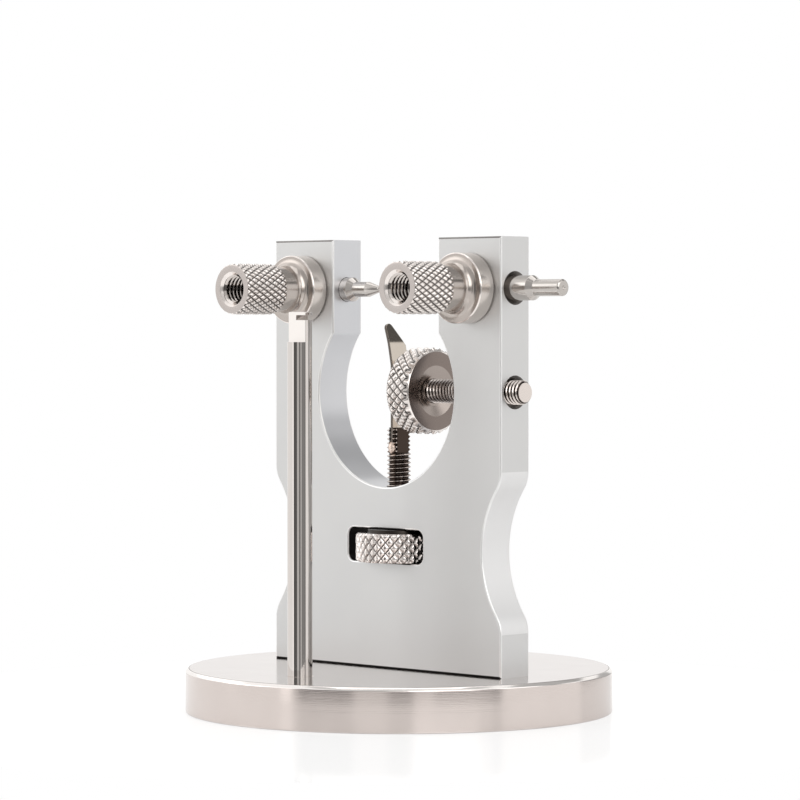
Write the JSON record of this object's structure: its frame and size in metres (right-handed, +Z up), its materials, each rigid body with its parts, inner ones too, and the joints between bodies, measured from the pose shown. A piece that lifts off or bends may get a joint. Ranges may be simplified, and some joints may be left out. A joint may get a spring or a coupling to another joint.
{
  "type": "balance truing caliper",
  "caption": "Bench truing caliper: turned base, upright plate with throat, clamped runners that hold a balance staff, and an index blade set by knurled wheels.",
  "frame": {"origin": "middle of the base's underside, on the axis of the disc and of the index stem", "axes": "+Z up; X along the plate, with the side wheel on +X; -Y is the front, where the knobs are"},
  "size_m": [0.0728, 0.07, 0.0774],
  "materials": {
    "base_steel": "turned stainless steel",
    "plate_aluminium": "fine satin, clear anodised",
    "knob_steel": "turned stainless steel, knurled head",
    "wheel_steel": "turned stainless steel, coarse knurl",
    "runner_steel": "hardened steel, fine ground",
    "thread_steel": "cut thread, bare",
    "screw_steel": "plain steel",
    "blade_steel": "polished spring steel",
    "key_steel": "ground steel rod",
    "solder": "pale solder"
  },
  "bodies": {
    "stand": {"base_disc": "base_steel", "frame_plate": "plate_aluminium", "left_frame_screw": "screw_steel", "right_frame_screw": "screw_steel", "stem_guide_pin": "screw_steel"},
    "left_runner": {"left_runner": "runner_steel"},
    "right_runner": {"right_runner": "runner_steel"},
    "left_clamp_bolt": {"left_clamp_bolt": "screw_steel"},
    "right_clamp_bolt": {"right_clamp_bolt": "screw_steel"},
    "left_clamp_knob": {"left_clamp_knob": "knob_steel"},
    "right_clamp_knob": {"right_clamp_knob": "knob_steel"},
    "height_wheel": {"height_wheel": "wheel_steel"},
    "index_stem": {"index_stem": "thread_steel", "blade_solder": "solder"},
    "index_blade": {"index_blade": "blade_steel"},
    "side_screw": {"side_screw": "thread_steel"},
    "side_wheel": {"side_wheel": "wheel_steel"},
    "truing_key": {"truing_key": "key_steel"}
  },
  "joints": [
    {"name": "left_runner_slide", "type": "slide", "parent": "stand", "child": "left_runner", "axis": [-1, 0, 0], "range_m": [-0.004, 0.004]},
    {"name": "right_runner_slide", "type": "slide", "parent": "stand", "child": "right_runner", "axis": [1, 0, 0], "range_m": [-0.004, 0.004]},
    {"name": "left_bolt_draw", "type": "slide", "parent": "stand", "child": "left_clamp_bolt", "axis": [0, 1, 0], "range_m": [0, 0.0003]},
    {"name": "left_knob_turn", "type": "hinge", "parent": "stand", "child": "left_clamp_knob", "pos_m": [-0.01905, -0.0033, 0.0692], "axis": [0, -1, 0], "range_deg": [0, 135.5]},
    {"name": "right_bolt_draw", "type": "slide", "parent": "stand", "child": "right_clamp_bolt", "axis": [0, 1, 0], "range_m": [0, 0.0003]},
    {"name": "right_knob_turn", "type": "hinge", "parent": "stand", "child": "right_clamp_knob", "pos_m": [0.01905, -0.0033, 0.0692], "axis": [0, -1, 0], "range_deg": [0, 135.5]},
    {"name": "stem_lift", "type": "slide", "parent": "stand", "child": "index_stem", "axis": [0, 0, 1], "range_m": [-0.0028, 0.0028]},
    {"name": "height_wheel_turn", "type": "hinge", "parent": "stand", "child": "height_wheel", "pos_m": [0, 0, 0.0269], "axis": [0, 0, 1], "range_deg": [-1441, 1441]},
    {"name": "side_screw_feed", "type": "slide", "parent": "stand", "child": "side_screw", "axis": [1, 0, 0], "range_m": [-0.0007, 0.0007]},
    {"name": "side_wheel_turn", "type": "hinge", "parent": "side_screw", "child": "side_wheel", "pos_m": [0.006, 0, 0.0526], "axis": [1, 0, 0], "range_deg": [-361, 361]},
    {"name": "blade_flex", "type": "hinge", "parent": "index_stem", "child": "index_blade", "pos_m": [0, 0, 0.04535], "axis": [0, 1, 0], "range_deg": [-5.54, 5.54]},
    {"name": "truing_key_lift", "type": "slide", "parent": "stand", "child": "truing_key", "axis": [0, 0, 1], "range_m": [0, 0.065]}
  ],
  "couplings": [
    {"joint": "left_knob_turn", "follows": "left_bolt_draw", "rad_per_m": 7854},
    {"joint": "right_knob_turn", "follows": "right_bolt_draw", "rad_per_m": 7854},
    {"joint": "height_wheel_turn", "follows": "stem_lift", "rad_per_m": -8976},
    {"joint": "side_wheel_turn", "follows": "side_screw_feed", "rad_per_m": 8976},
    {"joint": "blade_flex", "follows": "side_screw_feed", "rad_per_m": 137.93}
  ]
}
